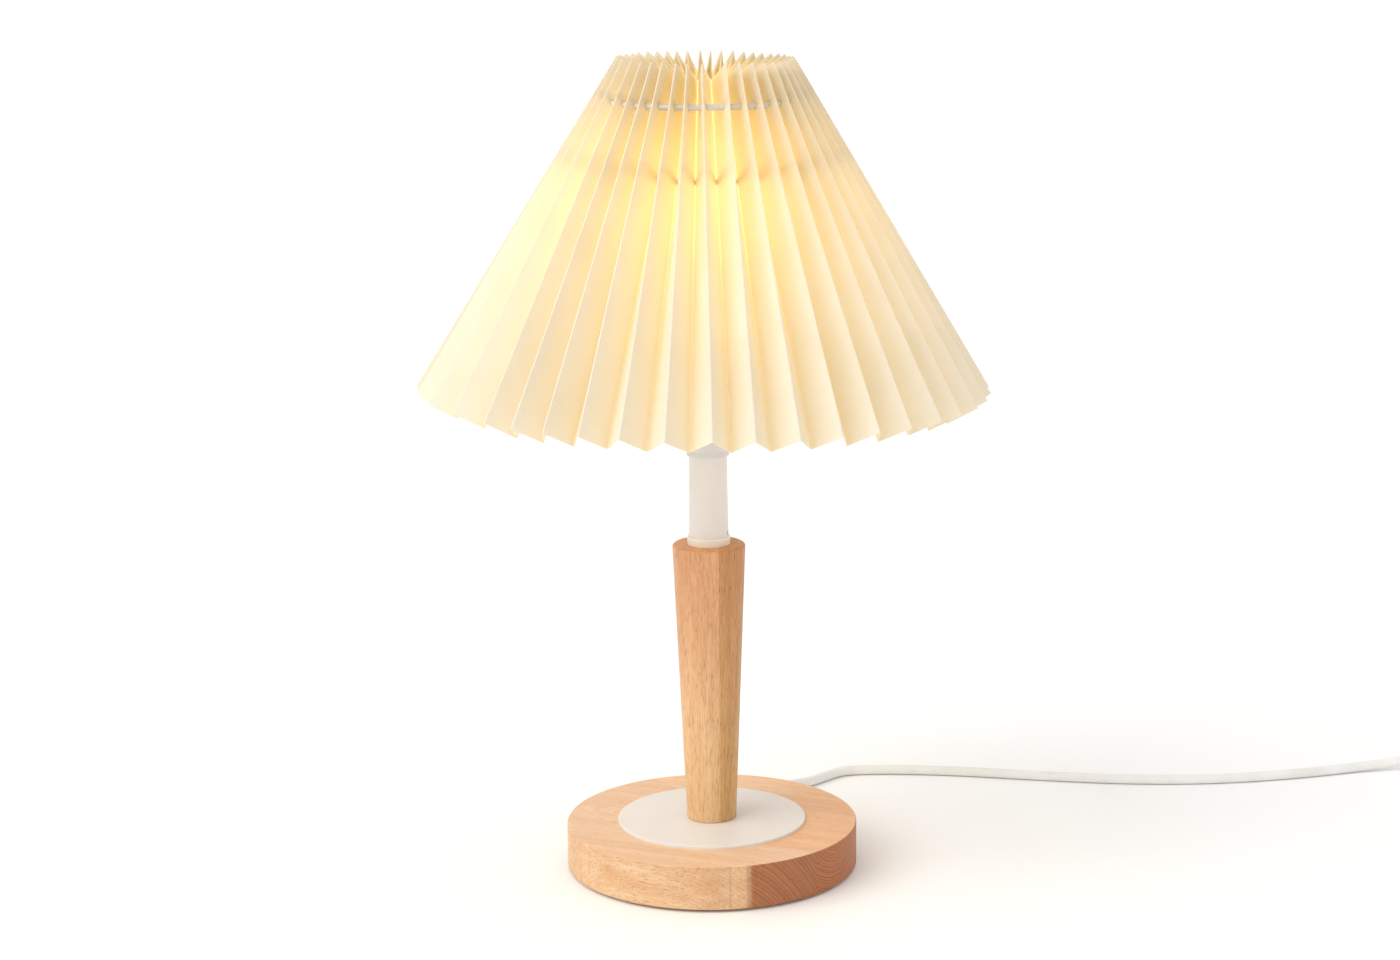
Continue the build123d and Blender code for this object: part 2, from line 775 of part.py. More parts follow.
def lead_tube(points):
    """A round tube along straight runs joined by tangent arcs; returns its length."""
    radii = corner_radii(points)
    print("lead radii", [round(radius) for radius in radii])
    with BuildLine() as route:
        FilletPolyline(*points, radius=radii)
    with BuildSketch(Plane(origin=points[0], z_dir=points[1] - points[0])) as section:
        Circle(cord_radius)
    sweep(section.sketch, path=route.line)
    return sum(edge.length for edge in route.edges())


with BuildPart() as cord_lead:
    lead_length = lead_tube(lead_points)
save(cord_lead, "cord_lead")
report_tube("cord_lead", cord_lead, lead_length)

# The coil: two layers, inwards below and outwards above, a quarter turn at a time.
coil_bottom = tie_thickness + tie_gap + cord_radius
coil_layer = 2 * cord_radius + coil_layer_gap
coil_reverse_quarter = coil_climb_quarter + 1
coil_outer_radius = coil_turn_radius + coil_reverse_quarter * coil_pitch / 4
coil_y = switch_y - coil_outer_radius
coil_end_stub = 2 * cord_radius


def coil_point(quarter):
    """Place on the coil's centre line after a number of quarter turns, clockwise from the back."""
    radius = coil_turn_radius + abs(quarter - coil_reverse_quarter) * coil_pitch / 4
    climbed = min(max((quarter - coil_climb_quarter) / 2, 0), 1)
    angle = pi / 2 * (1 - quarter)
    return Vector(
        coil_x + radius * cos(angle), coil_y + radius * sin(angle), coil_bottom + coil_layer * climbed
    )


def coil_heading(quarter):
    """Direction of the coil's centre line after a number of quarter turns."""
    angle = -pi / 2 * quarter
    climb = Vector(0, 0, 0)
    if quarter == coil_reverse_quarter:
        climb = Vector(0, 0, coil_layer / (pi * coil_turn_radius))
    return (Vector(cos(angle), sin(angle), 0) + climb).normalized()


def biarc_middle(start, start_heading, end, end_heading):
    """Where two arcs that leave start and reach end in the given directions meet, and their heading."""
    span = end - start
    both = start_heading + end_heading
    spread = 2 * (1 - start_heading.dot(end_heading))
    reach = (-span.dot(both) + sqrt(span.dot(both) ** 2 + spread * span.dot(span))) / spread
    near, far = start + start_heading * reach, end - end_heading * reach
    return (near + far) / 2, (far - near).normalized()


coil_start = coil_point(0) - coil_heading(0) * coil_end_stub
coil_finish = coil_point(coil_quarters) + coil_heading(coil_quarters) * coil_end_stub
with BuildPart() as cord_coil:
    with BuildLine() as coil_route:
        Line(coil_start, coil_point(0))
        for quarter in range(coil_quarters):
            start, end = coil_point(quarter), coil_point(quarter + 1)
            heading = coil_heading(quarter)
            middle, middle_heading = biarc_middle(start, heading, end, coil_heading(quarter + 1))
            TangentArc(start, middle, tangent=heading)
            TangentArc(middle, end, tangent=middle_heading)
        Line(coil_point(coil_quarters), coil_finish)
    with BuildSketch(Plane(origin=coil_start, z_dir=coil_heading(0))):
        Circle(cord_radius)
    sweep()
save(cord_coil, "cord_coil")
coil_edges = coil_route.edges()
coil_length = sum(edge.length for edge in coil_edges)
report_tube("cord_coil", cord_coil, coil_length)

# Least distance between stretches of the coil that are not neighbours along the lead.
gap_samples = [edge @ (step / 8) for edge in coil_edges for step in range(8)]
neighbours = 24
least_centres = min(
    (here - there).length
    for index, here in enumerate(gap_samples)
    for there in gap_samples[index + neighbours:]
)
print("cord_coil least gap to itself", round(least_centres - 2 * cord_radius, 2), "mm")

# Short lengths from the switch to the coil and from the coil to the plug.
switch_out = switch_end + Vector(switch_length, 0, 0)
with BuildPart() as cord_link:
    link_length = lead_tube([
        switch_out,
        switch_out + Vector(lead_coil_run, 0, 0),
        Vector((switch_out.X + coil_start.X) / 2 + link_bow, switch_y + link_side, coil_bottom + link_lift),
        coil_start - Vector(lead_coil_run, 0, 0),
        coil_start,
    ])
save(cord_link, "cord_link")
report_tube("cord_link", cord_link, link_length)

plug_end = Vector(coil_finish.X - tail_side, coil_finish.Y - tail_reach, plug_thickness / 2)
with BuildPart() as cord_tail:
    tail_length = lead_tube([
        coil_finish,
        coil_finish - Vector(0, lead_coil_run, 0),
        plug_end + Vector(0, lead_coil_run, 0),
        plug_end,
    ])
save(cord_tail, "cord_tail")
report_tube("cord_tail", cord_tail, tail_length)
print("lead from foot to plug", round(lead_length + switch_length + link_length + coil_length + tail_length), "mm")

# Plastic-covered wire tie round the bundle, on the side away from the climb.
bundle_inner = coil_turn_radius + 2 * coil_pitch / 4 - cord_radius - tie_gap
bundle_outer = coil_outer_radius - 3 * coil_pitch / 4 + cord_radius + tie_gap
bundle_bottom = tie_thickness
bundle_top = coil_bottom + coil_layer + cord_radius + tie_gap
with BuildPart() as coil_tie:
    with BuildSketch(Plane(origin=(coil_x, coil_y, 0), x_dir=(-1, 0, 0), z_dir=(0, 1, 0))):
        with Locations(((bundle_inner + bundle_outer) / 2, (bundle_bottom + bundle_top) / 2)):
            RectangleRounded(
                bundle_outer - bundle_inner + 2 * tie_thickness,
                bundle_top - bundle_bottom + 2 * tie_thickness,
                2 * tie_thickness,
            )
            RectangleRounded(
                bundle_outer - bundle_inner, bundle_top - bundle_bottom, tie_thickness, mode=Mode.SUBTRACT
            )
    extrude(amount=tie_width / 2, both=True)
save(coil_tie, "coil_tie")

# ---------------------------------------------------------------- switch on the lead
switch_middle = Plane(origin=(switch_centre_x, switch_y, 0))
switch_split = cord_switch_height
screw_places = [(switch_screw_x, switch_screw_y), (-switch_screw_x, -switch_screw_y)]
inner_length = switch_length - 2 * switch_wall
inner_width = switch_width - 2 * switch_wall
inner_corner = switch_corner - switch_wall
opening_length = rocker_length + 2 * rocker_rise * sin(radians(rocker_tilt)) + rocker_gap
opening_width = rocker_width + rocker_gap
roof = switch_height - switch_wall


def switch_block(length, width, corner, bottom, top, mode=Mode.ADD):
    """A round-cornered block about the middle of the switch."""
    with BuildSketch(switch_middle.offset(bottom)) as section:
        RectangleRounded(length, width, corner)
    extrude(section.sketch, amount=top - bottom, mode=mode)


def switch_posts(radius, bottom, top, mode=Mode.ADD):
    """Round posts, or bores, at the two screws."""
    with BuildSketch(switch_middle.offset(bottom)) as section:
        with Locations(*screw_places):
            Circle(radius)
    extrude(section.sketch, amount=top - bottom, mode=mode)


def switch_cord_way():
    """The round way for the lead through both ends."""
    with BuildSketch(Plane(origin=(switch_centre_x, switch_y, cord_switch_height), z_dir=(1, 0, 0))) as section:
        Circle(cord_radius + relief_clearance)
    extrude(section.sketch, amount=switch_length, both=True, mode=Mode.SUBTRACT)


with BuildPart() as switch_base:
    switch_block(switch_length, switch_width, switch_corner, 0, switch_split)
    fillet(switch_base.edges().group_by(Axis.Z)[0], radius=switch_edge)
    switch_block(inner_length, inner_width, inner_corner, switch_wall, switch_split, Mode.SUBTRACT)
    switch_posts(switch_post_radius, 0.1, switch_split)
    switch_posts(switch_screw_radius + relief_clearance, 0, switch_split, Mode.SUBTRACT)
    switch_posts(switch_screw_head_radius + relief_clearance, 0, switch_wall, Mode.SUBTRACT)
    switch_cord_way()
save(switch_base, "switch_base")

pivot = Vector(switch_centre_x, switch_y, rocker_pivot_height)
pivot_plane = Plane(origin=pivot, x_dir=(1, 0, 0), z_dir=(0, -1, 0))
cheek_inner = opening_width / 2
with BuildPart() as switch_cover:
    switch_block(switch_length, switch_width, switch_corner, switch_split, switch_height)
    fillet(switch_cover.edges().group_by(Axis.Z)[-1], radius=switch_edge)
    switch_block(inner_length, inner_width, inner_corner, switch_split, roof, Mode.SUBTRACT)
    switch_posts(switch_post_radius, switch_split, roof)
    switch_posts(switch_screw_radius + thread_clearance, switch_split, roof, Mode.SUBTRACT)
    switch_block(opening_length, opening_width, 1.0, roof - 1, switch_height + 1, Mode.SUBTRACT)
    with BuildSketch(switch_middle.offset(roof)):
        for side in (-1, 1):
            with Locations((0, side * (cheek_inner + cheek_thickness / 2))):
                Rectangle(cheek_length, cheek_thickness)
    extrude(amount=rocker_pivot_height - 2 * rocker_pin_radius - roof)
    with BuildSketch(pivot_plane):
        Circle(rocker_pin_radius + thread_clearance)
    extrude(amount=cheek_inner + cheek_thickness, both=True, mode=Mode.SUBTRACT)
    switch_cord_way()
save(switch_cover, "switch_cover")

# The rocker is drawn pressed down at the end towards the lamp, which is its "on" place.
tilt = radians(rocker_tilt)
rocker_plane = Plane(origin=pivot, x_dir=(cos(tilt), 0, sin(tilt)), z_dir=(0, -1, 0))
half_rocker = rocker_length / 2
with BuildPart() as switch_rocker:
    with BuildSketch(rocker_plane):
        with BuildLine():
            dished_top = ThreePointArc(
                (-half_rocker, rocker_rise), (0, rocker_rise - rocker_dish), (half_rocker, rocker_rise)
            )
            Polyline(
                dished_top @ 1,
                (half_rocker, rocker_side),
                (rocker_nub, -rocker_nub),
                (-rocker_nub, -rocker_nub),
                (-half_rocker, rocker_side),
                dished_top @ 0,
            )
        make_face()
        Circle(rocker_pin_radius + pin_clearance, mode=Mode.SUBTRACT)
    extrude(amount=rocker_width / 2, both=True)
save(switch_rocker, "switch_rocker")

with BuildPart() as rocker_pin:
    with BuildSketch(pivot_plane):
        Circle(rocker_pin_radius)
    extrude(amount=cheek_inner + cheek_thickness, both=True)
save(rocker_pin, "rocker_pin")

with BuildPart() as switch_screws:
    switch_posts(switch_screw_head_radius, switch_wall - switch_screw_head_height, switch_wall)
    switch_posts(switch_screw_radius, switch_wall, switch_wall + switch_screw_length)
save(switch_screws, "switch_screws")

# Two brass strips that the rocker bridges.
with BuildPart() as switch_contacts:
    for side in (-1, 1):
        strip_plane = Plane(
            origin=(switch_centre_x, switch_y + spring_strip_y, 0), x_dir=(side, 0, 0), z_dir=(0, -side, 0)
        )
        with BuildSketch(strip_plane):
            with BuildLine():
                Polyline(
                    (spring_strip_end, spring_strip_height),
                    (spring_strip_reach - spring_strip, spring_strip_height),
                    (spring_strip_reach - spring_strip, switch_wall),
                    (spring_strip_reach, switch_wall),
                    (spring_strip_reach, spring_strip_height + spring_strip),
                    (spring_strip_end, spring_strip_height + spring_strip),
                    close=True,
                )
            make_face()
        extrude(amount=spring_strip_width / 2, both=True)
save(switch_contacts, "switch_contacts")

# The lead's ends inside the switch, with the core that runs straight through.
through_core_drop = 1.6
through_core_y = -1.3
with BuildPart() as switch_leads:
    for side in (-1, 1):
        stub_plane = Plane(
            origin=(switch_centre_x + side * switch_length / 2, switch_y, cord_switch_height),
            z_dir=(-side, 0, 0),
        )
        with BuildSketch(stub_plane):
            Circle(cord_radius)
        extrude(amount=switch_stub)
    with BuildSketch(Plane(
        origin=(switch_centre_x, switch_y + through_core_y, cord_switch_height - through_core_drop),
        z_dir=(1, 0, 0),
    )):
        Circle(core_wire_radius)
    extrude(amount=switch_length / 2 - switch_stub, both=True)
save(switch_leads, "switch_leads")

# ---------------------------------------------------------------- plug
# Flat two-pin plug lying on its side, moulded in one with its tapered neck.
neck_plane = Plane(origin=plug_end, x_dir=(1, 0, 0), z_dir=(0, -1, 0))
half_neck, half_plug = plug_neck_width / 2, plug_width / 2
neck_y = plug_end.Y - plug_neck_length
shoulder_y = neck_y - plug_shoulder_length
plug_face_y = shoulder_y - plug_body_length
with BuildPart() as plug_body:
    with BuildSketch(Plane.XY) as plug_outline:
        with BuildLine():
            Polyline(
                (plug_end.X - half_neck, neck_y),
                (plug_end.X + half_neck, neck_y),
                (plug_end.X + half_plug, shoulder_y),
                (plug_end.X + half_plug, plug_face_y),
                (plug_end.X - half_plug, plug_face_y),
                (plug_end.X - half_plug, shoulder_y),
                close=True,
            )
        make_face()
    extrude(amount=plug_thickness)
    shoulder_edges = plug_body.edges().filter_by(Axis.Z).filter_by_position(Axis.Y, plug_face_y, shoulder_y)
    fillet(shoulder_edges, radius=2 * plug_edge)
    fillet(plug_body.faces().sort_by(Axis.Z)[-1].edges(), radius=plug_edge)
    fillet(plug_body.faces().sort_by(Axis.Z)[0].edges(), radius=plug_edge)
    with BuildSketch(neck_plane):
        Circle(plug_neck_tip_radius)
    with BuildSketch(neck_plane.offset(plug_neck_length + plug_edge)):
        RectangleRounded(plug_neck_width, plug_thickness - 2 * plug_edge, plug_edge)
    loft()
    with BuildSketch(Plane(origin=(plug_end.X, plug_face_y, plug_end.Z), x_dir=(1, 0, 0), z_dir=(0, 1, 0))):
        with Locations((pin_spacing / 2, 0), (-pin_spacing / 2, 0)):
            Circle(pin_radius + thread_clearance)
    extrude(amount=pin_root, mode=Mode.SUBTRACT)
save(plug_body, "plug_body")

with BuildPart() as plug_pins:
    pin_plane = Plane(origin=(plug_end.X, plug_face_y + pin_root, plug_end.Z), x_dir=(1, 0, 0), z_dir=(0, -1, 0))
    with BuildSketch(pin_plane):
        with Locations((pin_spacing / 2, 0), (-pin_spacing / 2, 0)):
            Circle(pin_radius)
    extrude(amount=pin_root + pin_length)
    chamfer(plug_pins.edges().group_by(Axis.Y)[0], length=pin_tip_edge)
save(plug_pins, "plug_pins")
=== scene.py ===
"""Pleated paper table lamp: finishes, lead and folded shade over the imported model, in metres."""
import random
from math import atan2, cos, pi, radians, sin, sqrt

import bmesh
import bpy
from mathutils import Matrix, Vector


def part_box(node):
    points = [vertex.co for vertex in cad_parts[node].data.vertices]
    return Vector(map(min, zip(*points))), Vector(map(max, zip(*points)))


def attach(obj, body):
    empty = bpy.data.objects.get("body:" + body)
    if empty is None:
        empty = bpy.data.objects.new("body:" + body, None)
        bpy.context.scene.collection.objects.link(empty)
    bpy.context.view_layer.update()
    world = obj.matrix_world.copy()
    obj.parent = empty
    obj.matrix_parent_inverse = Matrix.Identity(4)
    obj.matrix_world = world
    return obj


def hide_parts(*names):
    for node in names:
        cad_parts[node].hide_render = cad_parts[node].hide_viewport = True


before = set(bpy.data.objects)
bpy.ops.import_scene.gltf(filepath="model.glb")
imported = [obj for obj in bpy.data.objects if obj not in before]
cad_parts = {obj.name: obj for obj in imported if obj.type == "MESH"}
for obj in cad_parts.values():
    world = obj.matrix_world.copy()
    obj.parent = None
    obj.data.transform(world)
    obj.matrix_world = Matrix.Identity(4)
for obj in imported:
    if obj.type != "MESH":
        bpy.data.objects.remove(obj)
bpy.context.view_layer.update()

# ------------------------------------------------------------------ table, light and camera
# The lamp stands on a wide white sweep in an even white room. One broad soft source
# stands high at the left and in front, so the right sides of the wood fall off gently.


class Field:
    """A value that varies over a surface: one output socket that takes part in sums."""

    def __init__(self, finish, socket):
        self.finish, self.socket = finish, socket

    def __add__(self, other):
        return self.finish.maths("ADD", self, other)

    def __sub__(self, other):
        return self.finish.maths("SUBTRACT", self, other)

    def __rsub__(self, other):
        return self.finish.maths("SUBTRACT", other, self)

    def __mul__(self, other):
        return self.finish.maths("MULTIPLY", self, other)

    def __pow__(self, other):
        return self.finish.maths("POWER", self, other)

    def __abs__(self):
        return self.finish.maths("ABSOLUTE", self, 0.0)

    def over(self, limit):
        """1 where the value is above the limit, else 0."""
        return self.finish.maths("GREATER_THAN", self, limit)

    def ramp(self, low, high, start=0.0, end=1.0):
        """A soft step from start to end as the value goes from low to high."""
        inputs = {0: self, 1: low, 2: high, 3: start, 4: end}
        return self.finish.add("MapRange", {"interpolation_type": "SMOOTHSTEP"}, inputs)


class Finish:
    """A surface finish made of nodes that ends in one Principled shader."""

    def __init__(self, name, **constants):
        self.material = bpy.data.materials.new(name)
        self.material.use_nodes = True
        self.tree = self.material.node_tree
        self.shader = self.tree.nodes["Principled BSDF"]
        coordinates = self.tree.nodes.new("ShaderNodeTexCoord")
        self.place = Field(self, coordinates.outputs["Object"])
        self.facing = Field(self, coordinates.outputs["Normal"])
        self.set(**{key.replace("_", " ").title(): value for key, value in constants.items()})

    def add(self, kind, settings=None, inputs=None, output=0):
        """A node with its settings, then the values or links of its sockets."""
        node = self.tree.nodes.new("ShaderNode" + kind)
        for key, value in (settings or {}).items():
            setattr(node, key, value)
        for key, value in (inputs or {}).items():
            self.feed(node.inputs[key], value)
        return Field(self, node.outputs[output])

    def feed(self, socket, value):
        """Sets a socket to a number or colour, or links a field to it."""
        if isinstance(value, Field):
            self.tree.links.new(value.socket, socket)
        else:
            socket.default_value = value

    def set(self, **sockets):
        """Feeds the shader's sockets by name."""
        for name, value in sockets.items():
            self.feed(self.shader.inputs[name], value)

    def maths(self, operation, first, second):
        """A sum of two numbers or fields."""
        return self.add("Math", {"operation": operation}, {0: first, 1: second})

    def dot(self, vector, direction):
        """The share of a vector that lies along a direction."""
        return self.add("VectorMath", {"operation": "DOT_PRODUCT"}, {0: vector, 1: direction}, 1)

    def along(self, direction):
        """How far a point lies along a direction from the middle of the foot."""
        return self.dot(self.place, direction)

    def toward(self, direction):
        """How squarely the surface faces a direction: 1 when it faces straight that way."""
        return self.dot(self.facing, direction)

    def point(self, x, y, z):
        """A place put together from three fields or numbers."""
        return self.add("CombineXYZ", None, {0: x, 1: y, 2: z})

    def noise(self, place, scale, detail=2.0, rough=0.5, warp=0.0):
        """Soft random variation from 0 to 1."""
        inputs = {"Vector": place, "Scale": scale, "Detail": detail, "Roughness": rough}
        return self.add("TexNoise", {"noise_dimensions": "3D"}, {**inputs, "Distortion": warp})

    def ripple(self, value, detail):
        """Soft random variation that changes with one value alone."""
        return self.add("TexNoise", {"noise_dimensions": "1D"}, {"W": value, "Detail": detail})

    def mix(self, share, first, second, blend="MIX"):
        """One colour over another."""
        settings = {"data_type": "RGBA", "blend_type": blend, "clamp_factor": True}
        return self.add("Mix", settings, {0: share, 6: first, 7: second}, 2)

    def bump(self, height, depth, strength=1.0):
        """Raises the surface by a height field, depth metres high."""
        relief = self.add("Bump", None, {"Height": height, "Distance": depth, "Strength": strength})
        self.set(Normal=relief)


def paint(red, green, blue):
    """A colour as painters name it, 0 to 255, turned to the linear values of a shader."""
    shares = [value / 255 for value in (red, green, blue)]
    return (*[s / 12.92 if s <= 0.04045 else ((s + 0.055) / 1.055) ** 2.4 for s in shares], 1.0)


def nothing_selected():
    """Leaves object mode clean for the next piece."""
    bpy.ops.object.select_all(action="DESELECT")


to_right, to_back, upward = (1.0, 0.0, 0.0), (0.0, 1.0, 0.0), (0.0, 0.0, 1.0)
sweep_width = 40.0
room_brightness = 0.82
source_lean, source_turn, source_spread = 50, -62, 50
source_brightness = 1.40
camera_place = (-0.0043, -1.540, 0.548)
camera_dip, camera_pan = 12.3, -0.65
sensor_width = 36.0
focal_pixels, photo_width = 2990, 1400

nothing_selected()
bpy.ops.mesh.primitive_plane_add(size=sweep_width)
sweep = bpy.context.object
sweep.name = "table_sweep"
sweep_white = Finish("sweep_white", roughness=0.75)
sweep_white.set(**{"Base Color": sweep_white.mix(
    sweep_white.noise(sweep_white.place, 3.0), paint(252, 252, 252), paint(254, 254, 254))})
sweep.data.materials.append(sweep_white.material)

room = bpy.data.worlds.new("white_room")
room.use_nodes = True
room.node_tree.nodes["Background"].inputs["Color"].default_value = (1.0, 1.0, 1.0, 1.0)
room.node_tree.nodes["Background"].inputs["Strength"].default_value = room_brightness
bpy.context.scene.world = room

nothing_selected()
bpy.ops.object.light_add(type="SUN", rotation=(radians(source_lean), 0, radians(source_turn)))
window = bpy.context.object
window.name = "left_soft_source"
window.data.energy = source_brightness
window.data.angle = radians(source_spread)
window.data.color = (1.0, 0.99, 0.975)

bpy.context.scene.view_settings.view_transform = "Standard"

nothing_selected()
bpy.ops.object.camera_add(location=camera_place)
camera = bpy.context.object
camera.name = "camera"
camera.rotation_mode = "ZXY"
camera.rotation_euler = (radians(90 - camera_dip), 0, radians(camera_pan))
camera.data.sensor_width = sensor_width
camera.data.lens = focal_pixels / photo_width * sensor_width
bpy.context.scene.camera = camera

# ------------------------------------------------------------------ lead
# Round two-core mains lead in white vinyl. It leaves the tapered sleeve behind the foot,
# lies on the table to the rocker switch, and the rest is tied in a coil with its plug.
lead_radius = 0.0028
coil_centre = (0.548, 0.108175)
coil_inner_radius = 0.022
coil_pitch = 0.0061
coil_quarters = 25
coil_inmost_quarter = 13
coil_bottom = 0.004
coil_points_a_quarter = 4
sleeve_tip = (0.032138, 0.098910, 0.0075)
lead_route = [
    sleeve_tip,
    (0.034919, 0.107469, 0.0075),
    (0.0463, 0.1177, 0.0050),
    (0.0585, 0.1300, 0.00285),
    (0.0700, 0.1420, 0.00285),
    (0.0780, 0.1500, 0.00285),
    (0.1020, 0.1515, 0.00285),
    (0.1420, 0.1475, 0.00285),
    (0.1900, 0.1365, 0.00285),
    (0.2430, 0.1265, 0.00285),
    (0.2970, 0.1255, 0.00285),
    (0.3460, 0.1345, 0.00285),
    (0.3820, 0.1455, 0.00285),
    (0.4060, 0.1492, 0.0046),
    (0.4190, 0.1500, 0.0076),
    (0.4300, 0.1500, 0.0076),
    (0.4920, 0.1500, 0.0076),
    (0.5010, 0.1500, 0.0076),
    (0.5222, 0.1512, 0.0048),
    (0.5334, 0.1500, 0.0040),
    (0.5424, 0.1500, 0.0040),
]
half_step = pi / 4 / coil_points_a_quarter
for step in range(coil_quarters * coil_points_a_quarter):
    quarter = (step + 0.5) / coil_points_a_quarter
    turn_radius = coil_inner_radius + abs(quarter - coil_inmost_quarter) * coil_pitch / 4
    reach = turn_radius / cos(half_step)
    climb = min(max((quarter - coil_inmost_quarter + 1) / 2, 0), 1)
    heading = pi / 2 * (1 - quarter)
    lead_route.append((
        coil_centre[0] + reach * cos(heading),
        coil_centre[1] + reach * sin(heading),
        coil_bottom + coil_pitch * climb,
    ))
lead_route += [
    (0.5883, 0.102575, 0.0101),
    (0.5883, 0.093575, 0.0101),
    (0.5868, 0.075575, 0.00685),
    (0.5868, 0.066575, 0.00685),
]

white_vinyl = Finish("white_vinyl", roughness=0.42, coat_weight=0.05)
handling = white_vinyl.noise(white_vinyl.place, 55.0, 4.0, 0.6)
white_vinyl.set(**{
    "Base Color": white_vinyl.mix(
        handling.ramp(0.35, 0.75), paint(240, 239, 236), paint(231, 229, 224)),
    "Roughness": handling.ramp(0.3, 0.8, 0.38, 0.5),
})
white_vinyl.bump(white_vinyl.noise(white_vinyl.place, 900.0, 2.0), 0.00006, 0.5)

lead_line = bpy.data.curves.new("mains_lead", "CURVE")
lead_line.dimensions = "3D"
lead_line.bevel_depth = lead_radius
lead_line.bevel_resolution = 4
lead_line.resolution_u = 8
lead_line.use_fill_caps = True
lead_spline = lead_line.splines.new("NURBS")
lead_spline.points.add(len(lead_route) - 1)
for control, place in zip(lead_spline.points, lead_route):
    control.co = (*place, 1.0)
lead_spline.order_u = 3
lead_spline.use_endpoint_u = True
mains_lead = bpy.data.objects.new("mains_lead", lead_line)
bpy.context.scene.collection.objects.link(mains_lead)
mains_lead.data.materials.append(white_vinyl.material)


def dress(finish, *names):
    """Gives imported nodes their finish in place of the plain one."""
    for name in names:
        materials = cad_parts[name].data.materials
        materials.clear()
        materials.append(finish.material)


dress(white_vinyl, "inner_cord", "strain_relief", "stop_tie", "switch_leads", "coil_tie")
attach(mains_lead, "lamp")
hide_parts("cord_lead", "cord_link", "cord_coil", "cord_tail")

# ------------------------------------------------------------------ foot
# Round foot of pale plantation hardwood, edge glued from boards and turned. The grain runs
# from left to right and a little to the front, so the rim shows end grain at front right.
grain_turn = radians(25)
foot_grain = (cos(grain_turn), -sin(grain_turn), 0.0)
foot_across = (sin(grain_turn), cos(grain_turn), 0.0)
board_joints = [-0.0664, -0.0612, -0.0272, 0.0465]
joint_width = 0.00022
rings_a_metre = 300.0
rays_a_radian = 110.0


def oiled_wood(finish, along, across, up, heart, tones, end_grain):
    """Colour, gloss and relief of open-pored wood: rings, fibres, rays, pores and cut ends."""
    pale, dark, ring_tone, pore_tone, end_tone, end_dark = tones

    def streaks(lengthwise, crosswise, detail, rough=0.5):
        """Noise drawn out along the grain: its changes in a metre along and across."""
        place = finish.point(along * lengthwise, across * crosswise, up * crosswise)
        return finish.noise(place, 1.0, detail, rough)

    sway = streaks(8.0, 16.0, 2.0) - 0.5
    from_heart = across - heart[0] + sway * 0.007
    above_heart = up - heart[1] + along * 0.12 + sway * 0.006
    ring_radius = (from_heart * from_heart + above_heart * above_heart) ** 0.5
    rings = finish.ripple(ring_radius * rings_a_metre, 3.0).ramp(0.40, 0.66)
    ray_turn = finish.maths("ARCTAN2", above_heart, from_heart)
    rays = finish.ripple(ray_turn * rays_a_radian, 2.0)
    fibre = streaks(30.0, 1000.0, 3.0, 0.6)
    flow = streaks(10.0, 130.0, 4.0, 0.6)
    dashes = streaks(100.0, 2000.0, 2.0).ramp(0.52, 0.66)
    pores = streaks(170.0, 2100.0, 1.0, 0.4).ramp(0.640, 0.70)
    colour = finish.mix(flow.ramp(0.30, 0.70), pale, dark)
    colour = finish.mix(rings * 0.34, colour, ring_tone)
    colour = finish.mix(fibre.ramp(0.45, 0.75) * 0.40, colour, ring_tone)
    cut = finish.mix(rings.ramp(0.1, 0.9), end_tone, end_dark)
    cut = finish.mix(rays.ramp(0.52, 0.70) * 0.6, cut, end_tone)
    colour = finish.mix(end_grain, colour, cut)
    colour = finish.mix(dashes * 0.38, colour, pore_tone)
    colour = finish.mix(pores * (end_grain * 0.3 + 0.5), colour, end_dark)
    return colour, fibre, pores


foot_wood = Finish("foot_wood", roughness=0.45)
foot_along = foot_wood.along(foot_grain)
foot_side = foot_wood.along(foot_across)
foot_up = foot_wood.along(upward)
past_joints = [foot_side.over(joint) for joint in board_joints]
board_number = sum(past_joints[1:], past_joints[0])
board_chance = foot_wood.add("TexWhiteNoise", {"noise_dimensions": "1D"}, {"W": board_number})
foot_hearts = (
    past_joints[1] * 0.015 + past_joints[2] * 0.110 - 0.135,
    past_joints[1] * 0.010 + past_joints[2] * 0.080 - 0.045,
)
# Cut ends show where the rim faces front right, but only faintly before the second joint.
facing_end = foot_wood.toward(foot_grain).ramp(0.30, 0.62)
cut_boards = foot_side.ramp(board_joints[1] - 0.0006, board_joints[1] + 0.0022, 0.12, 0.95)
end_share = facing_end * cut_boards
painted_top_light = foot_wood.toward(upward)
foot_tones = [
    paint(237, 208, 170), paint(221, 177, 131), paint(207, 153, 105), paint(196, 134, 92),
    foot_wood.mix(past_joints[2], paint(181, 112, 63), paint(188, 122, 72)), paint(130, 70, 36)]
foot_colour, foot_fibre, foot_pores = oiled_wood(
    foot_wood, foot_along, foot_side, foot_up, foot_hearts, foot_tones, end_share)
# Faces that look up are painted lighter and pinker: painted light falling from above.
foot_colour = foot_wood.mix(painted_top_light.ramp(0.5, 0.9), foot_colour, foot_wood.mix(
    0.38, foot_colour, paint(255, 224, 194)))
nearest_joint = abs(foot_side - board_joints[0])
for joint in board_joints[1:]:
    nearest_joint = foot_wood.maths("MINIMUM", nearest_joint, abs(foot_side - joint))
glue_line = nearest_joint.ramp(joint_width / 2, joint_width * 2, 1.0, 0.0) * (end_share * 0.7 + 0.3)
board_tint = foot_wood.mix(board_chance, paint(255, 247, 238), paint(248, 244, 242))
board_tint = foot_wood.mix(
    past_joints[2] * foot_along.ramp(0.0, 0.05), board_tint, paint(252, 232, 214))
foot_colour = foot_wood.mix(1.0, foot_colour, board_tint, "MULTIPLY")
foot_colour = foot_wood.mix(glue_line * 0.6, foot_colour, paint(150, 98, 62))
foot_wood.set(**{"Base Color": foot_colour, "Roughness": foot_fibre.ramp(0.2, 0.8, 0.40, 0.56)})
